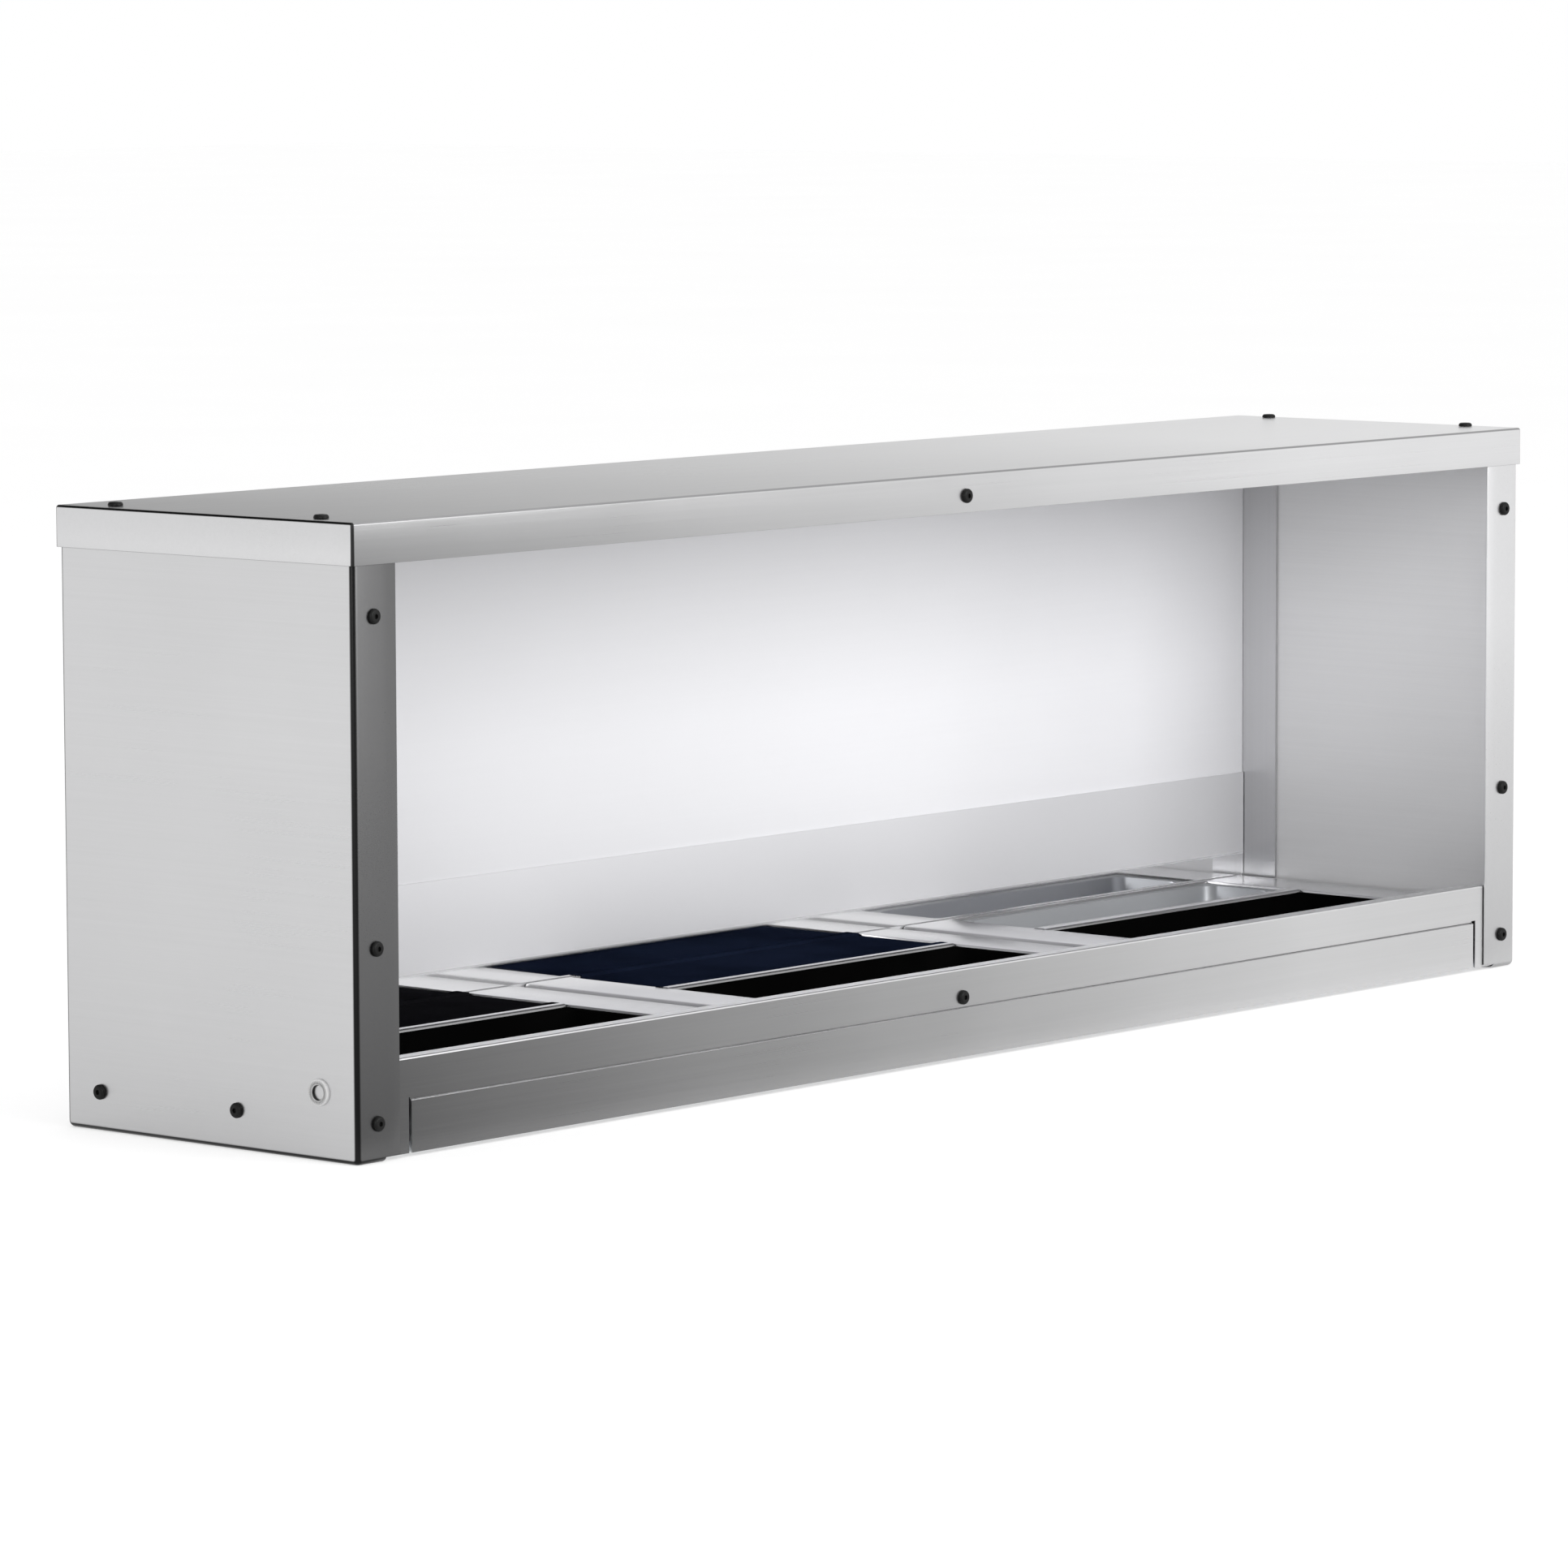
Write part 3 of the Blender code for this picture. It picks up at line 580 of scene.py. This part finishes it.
for bay, tone in PLATE_COLOURS.items():
    low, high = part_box(bay + "_warming_plate")
    piece = sheet_between(bay + "_plate_pressed", (low.x, low.y, high.z), high)
    for way, reach in ((1, REAR_REACH), (-1, FRONT_REACH)):
        edge = way * max(way * vert.co.y for vert in piece.data.vertices)
        pick(piece, "EDGE", lambda a, b: all(abs(v.y - edge) < NEAR for v in (a, b)))
        bpy.ops.mesh.extrude_edges_move(TRANSFORM_OT_translate={"value": (0, 0, FLANGE_RISE)})
        bpy.ops.mesh.extrude_edges_move(TRANSFORM_OT_translate={"value": (0, way * reach, 0)})
        bpy.ops.object.mode_set(mode="OBJECT")
    bpy.ops.object.mode_set(mode="EDIT")
    close(piece)
    modify(piece, "SOLIDIFY", thickness=SHEET, offset=-1)
    select_none()
    bpy.ops.mesh.primitive_cylinder_add(
        vertices=32,
        radius=NOTCH_RADIUS,
        depth=CUTTER_HEIGHT,
        location=(low.x, high.y, high.z),
    )
    cutter = bpy.context.object
    modify(piece, "BOOLEAN", operation="DIFFERENCE", object=cutter, solver="EXACT")
    bpy.data.objects.remove(cutter)
    modify(piece, "BEVEL", width=RIM_SOFTNESS, segments=2, limit_method="ANGLE", angle_limit=0.9)
    material = enamel("plate_enamel_" + bay, tone, 0.5)
    finish_piece(
        piece, material, bay + "_plate", PLATE_SLOTS[bay], bay + "_warming_plate", smooth=30
    )

# Heaters, cut-outs, terminal block and cable bush.
# A silicone mat warms each plate from below, and a cut-out switch on its bridge guards it. The
# supply cable comes in through a nylon bush, pressed into the left end, to a terminal block.


def moulded(name, tone, roughness, grain=260.0):
    """Moulded plastic or rubber with a fine spark-eroded grain."""
    material, shader, place = new_finish(name)
    fine = place.node("TexNoise", None, {"Vector": place, "Scale": grain, "Detail": 3.0})
    clouds = place.node("TexNoise", None, {"Vector": place, "Scale": 30.0, "Detail": 2.0})
    colour = clouds.blend(
        tuple(value * 0.85 for value in tone) + (1.0,),
        tuple(value * 1.2 for value in tone) + (1.0,),
    )
    bump = place.node("Bump", None, {"Strength": 0.15, "Distance": 0.0003, "Height": fine})
    connect(shader, Base_Color=colour, Roughness=(fine - 0.5) * 0.2 + roughness, Normal=bump)
    return material


finish_nodes(
    moulded("silicone_rubber", (0.35, 0.09, 0.03), 0.55), "left_heater_mat", "middle_heater_mat"
)
finish_nodes(
    moulded("black_bakelite", (0.02, 0.02, 0.02), 0.4),
    "left_thermal_cutout",
    "middle_thermal_cutout",
)

BORE_RADIUS = 4.6 * MM
BORE_TAPER = 0.4 * MM
BORE_DEPTH = 2.5 * MM
BUSH_ROUND = 0.7 * MM
RING_FROM = 5.0 * MM
RING_FULL = 5.6 * MM

low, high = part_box("cable_entry_bush")
middle = (low + high) / 2
radius = (high.y - low.y) / 2
select_none()
bpy.ops.mesh.primitive_cylinder_add(
    vertices=40,
    radius=radius,
    depth=high.x - low.x,
    location=middle,
    rotation=(0, -math.pi / 2, 0),
)
bush = bpy.context.object
bush.name = bush.data.name = "cable_bush_ring"
bpy.ops.object.transform_apply(location=True, rotation=True, scale=True)
pick(bush, "FACE", lambda centre, normal: normal.x < -0.9)
bpy.ops.mesh.inset(thickness=radius - BORE_RADIUS)
bpy.ops.mesh.inset(thickness=BORE_TAPER, depth=-BORE_DEPTH)
pick(bush, "EDGE", lambda a, b: all(abs(v.x - low.x) < NEAR for v in (a, b)))
bpy.ops.mesh.bevel(offset=BUSH_ROUND, segments=4, affect="EDGES")
close(bush)
material, shader, place = new_finish("grommet_nylon")
from_axis = place.node(
    "VectorMath", {"operation": "DISTANCE"}, {0: place, 1: tuple(middle)}, 1
)
speckle = place.node("TexNoise", None, {"Vector": place, "Scale": 500.0, "Detail": 2.0})
# Painted shade: the middle of the bush is painted near black, as shade down its bore.
ring = from_axis.spread(RING_FROM, RING_FULL, 0.0, 1.0)
grey = speckle.blend((0.42, 0.42, 0.42, 1), (0.52, 0.52, 0.52, 1))
connect(shader, Base_Color=ring.blend((0.004, 0.004, 0.004, 1), grey))
shader.inputs["Roughness"].default_value = 0.4
finish_piece(bush, material, "cabinet", "black_plastic", "cable_entry_bush")
finish_nodes(moulded("white_nylon", (0.75, 0.74, 0.70), 0.45), "terminal_block")

# Top cover.
# The lid is one stainless sheet with its four edges folded down over the panels, and rounded
# corners. Screws hold it at the corners and at the middle of the header.

LID_BEND = 2.0 * MM
LID_UPRIGHT = 10 * MM

low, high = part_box("top_cover")
lid = sheet_between("lid", (low.x, low.y, high.z), high)
pick(lid, "EDGE", lambda a, b: True)
bpy.ops.mesh.extrude_edges_move(TRANSFORM_OT_translate={"value": (0, 0, low.z - high.z)})
lid_top = high.z
pick(
    lid,
    "EDGE",
    lambda a, b: all(abs(v.z - lid_top) < NEAR for v in (a, b))
    or abs(a.z - b.z) > LID_UPRIGHT,
)
bpy.ops.mesh.bevel(offset=LID_BEND, segments=6, affect="EDGES")
close(lid)
modify(lid, "SOLIDIFY", thickness=SHEET, offset=-1)
modify(lid, "BEVEL", width=RIM_SOFTNESS, segments=2, limit_method="ANGLE", angle_limit=1.0)
# Painted shade: the lid's front and top get lighter towards the right, and the folds that turn to
# the left are painted near black as a dark line, with the end flange itself light again.
finish_piece(
    lid,
    steel(
        "lid_steel",
        (0.30, 0.30, 0.303),
        0.30,
        front=(1.03, 2.40),
        top=(0.95, 2.02),
        outside=(-1, 21.2),
        corner=0.1,
    ),
    "cabinet",
    "satin_steel",
    "top_cover",
)

# Screws.
# Black-oxide M5 screws with low button heads and a hexagon socket hold every panel.

HEAD_RADIUS = 4.75 * MM
HEAD_HEIGHT = 2.4 * MM
SOCKET_RADIUS = 1.7 * MM
SOCKET_DEPTH = 1.4 * MM

select_none()
bpy.ops.mesh.primitive_cylinder_add(
    vertices=40, radius=HEAD_RADIUS, depth=HEAD_HEIGHT, location=(0, 0, HEAD_HEIGHT / 2)
)
button = bpy.context.object
bpy.ops.object.transform_apply(location=True, rotation=True, scale=True)
pick(button, "EDGE", lambda a, b: all(v.z > HEAD_HEIGHT * 0.9 for v in (a, b)))
bpy.ops.mesh.bevel(offset=HEAD_HEIGHT * 0.72, segments=6, affect="EDGES")
close(button)
select_none()
bpy.ops.mesh.primitive_cylinder_add(
    vertices=6, radius=SOCKET_RADIUS, depth=SOCKET_DEPTH * 2, location=(0, 0, HEAD_HEIGHT)
)
cutter = bpy.context.object
modify(button, "BOOLEAN", operation="DIFFERENCE", object=cutter, solver="EXACT")
bpy.data.objects.remove(cutter)
screw_black = moulded("black_oxide", (0.004, 0.004, 0.004), 0.45, grain=900.0)
screw_black.node_tree.nodes["Principled BSDF"].inputs["Specular IOR Level"].default_value = 0.15
for name in sorted(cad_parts):
    if "_screw" not in name:
        continue
    low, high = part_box(name)
    middle = (low + high) / 2
    if name.startswith("top_"):
        turn, seat = (0, 0, 0), (middle.x, middle.y, high.z - HEAD_HEIGHT)
    elif name.startswith("end_screw_left"):
        turn, seat = (0, -math.pi / 2, 0), (low.x + HEAD_HEIGHT, middle.y, middle.z)
    elif name.startswith("end_screw_right"):
        turn, seat = (0, math.pi / 2, 0), (high.x - HEAD_HEIGHT, middle.y, middle.z)
    else:
        turn, seat = (math.pi / 2, 0, 0), (middle.x, low.y + HEAD_HEIGHT, middle.z)
    piece = bpy.data.objects.new(name + "_head", button.data.copy())
    bpy.context.collection.objects.link(piece)
    piece.data.transform(Matrix.Translation(seat) @ Euler(turn).to_matrix().to_4x4())
    finish_piece(piece, screw_black, "cabinet", "black_screw", name)
bpy.data.objects.remove(button)

# Studio.
# A white floor and a white room with soft lamps over it. Dim cards out of sight stand where
# the sheet metal mirrors the room.

FLOOR_SIZE = 40

select_none()
bpy.ops.mesh.primitive_plane_add(size=1)
floor = bpy.context.object
floor.name = "floor"
for vert in floor.data.vertices:
    vert.co = vert.co * FLOOR_SIZE
material, shader, place = new_finish("floor_paper")
clouds = place.node("TexNoise", None, {"Vector": place, "Scale": 2.0, "Detail": 2.0})
connect(shader, Base_Color=clouds.blend((0.44, 0.44, 0.44, 1), (0.46, 0.46, 0.46, 1)))
shader.inputs["Roughness"].default_value = 0.9
shader.inputs["Specular IOR Level"].default_value = 0.1
shader.inputs["Emission Color"].default_value = (1, 1, 1, 1)
shader.inputs["Emission Strength"].default_value = 0.52
floor.data.materials.append(material)


def card(name, corners, stops, start, end):
    """A sheet out of the camera's sight that only sheen mirrors. It glows from start to end."""
    mesh = bpy.data.meshes.new(name)
    mesh.from_pydata(corners, [], [(0, 1, 2, 3)])
    sheet = bpy.data.objects.new(name, mesh)
    bpy.context.collection.objects.link(sheet)
    material = bpy.data.materials.new(name)
    material.use_nodes = True
    tree = material.node_tree
    tree.nodes.clear()
    place = Wire(tree, tree.nodes.new("ShaderNodeTexCoord").outputs["Object"])
    way = Vector(end) - Vector(start)
    across = place.node(
        "VectorMath",
        {"operation": "DOT_PRODUCT"},
        {0: place, 1: tuple(way / way.length_squared)},
        1,
    )
    offset = Vector(start).dot(way) / way.length_squared
    glow = place.node("ValToRGB", {"stops": stops}, {"Fac": across - offset})
    light = glow.node("Emission", None, {"Color": glow, "Strength": 1.0})
    out = tree.nodes.new("ShaderNodeOutputMaterial")
    tree.links.new(light.socket, out.inputs["Surface"])
    mesh.materials.append(material)
    sheet.visible_camera = False
    sheet.visible_diffuse = False
    sheet.visible_shadow = False
    sheet.visible_transmission = False


card(
    "front_card",
    [(-0.9, -0.16, 0.0005), (-0.9, -2.2, 0.0005), (3.6, -2.2, 0.0005), (3.6, -0.16, 0.0005)],
    [(0.0, 0.65), (0.5, 0.85), (1.0, 1.0)],
    (-0.6, -0.127, 0.0),
    (0.25, -0.787, 0.0),
)
card(
    "rear_card",
    [(0.7, 2.0, 0.25), (0.7, 2.0, 1.8), (4.5, 2.2, 1.8), (4.5, 2.2, 0.25)],
    [(0.0, 0.70), (0.5, 0.85), (1.0, 1.0)],
    (1.0, 2.0, 0.0),
    (3.6, 2.1, 0.0),
)
card(
    "dark_room_behind_camera",
    [(-7.5, -1.2, 0.0), (-1.2, -7.5, 0.0), (-1.2, -7.5, 5.0), (-7.5, -1.2, 5.0)],
    [(0.0, 0.01), (1.0, 0.01)],
    (0, 0, 0),
    (1, 0, 0),
)
card(
    "dark_ceiling",
    [(-2.6, 0.7, 3.6), (-2.6, 3.0, 1.6), (0.8, 3.0, 1.6), (0.8, 0.7, 3.6)],
    [(0.0, 0.01), (1.0, 0.01)],
    (0, 0, 0),
    (1, 0, 0),
)

world = bpy.data.worlds.new("room")
world.use_nodes = True
world.node_tree.nodes["Background"].inputs["Color"].default_value = (1, 1, 1, 1)
world.node_tree.nodes["Background"].inputs["Strength"].default_value = 1.0
bpy.context.scene.world = world


def lamp(name, place, target, size, power):
    data = bpy.data.lights.new(name, "AREA")
    data.shape = "RECTANGLE"
    data.size, data.size_y = size
    data.energy = power
    thing = bpy.data.objects.new(name, data)
    thing.location = place
    thing.rotation_euler = (Vector(place) - Vector(target)).to_track_quat("Z", "Y").to_euler()
    bpy.context.collection.objects.link(thing)


lamp("overhead_lamp", (0.2, -0.4, 2.6), (0, 0, 0.2), (2.4, 1.6), 8)
lamp("front_lamp", (0.4, -3.2, 1.4), (0.1, 0.1, 0.2), (2.8, 1.6), 80)
lamp("side_lamp", (-3.2, -1.9, 1.3), (0.5, 0, 0.2), (1.4, 1.4), 45)

camera_data = bpy.data.cameras.new("camera")
camera_data.lens = 172.03
camera_data.sensor_width = 36
camera = bpy.data.objects.new("camera", camera_data)
camera.matrix_world = (
    Matrix.Translation((-3.7955, -3.2207, 0.7063))
    @ Matrix.Rotation(math.radians(-49.228), 4, "Z")
    @ Matrix.Rotation(math.radians(90 - 6.12), 4, "X")
    @ Matrix.Rotation(math.radians(-0.201), 4, "Z")
)
bpy.context.collection.objects.link(camera)
bpy.context.scene.camera = camera
bpy.context.scene.view_settings.view_transform = "Standard"
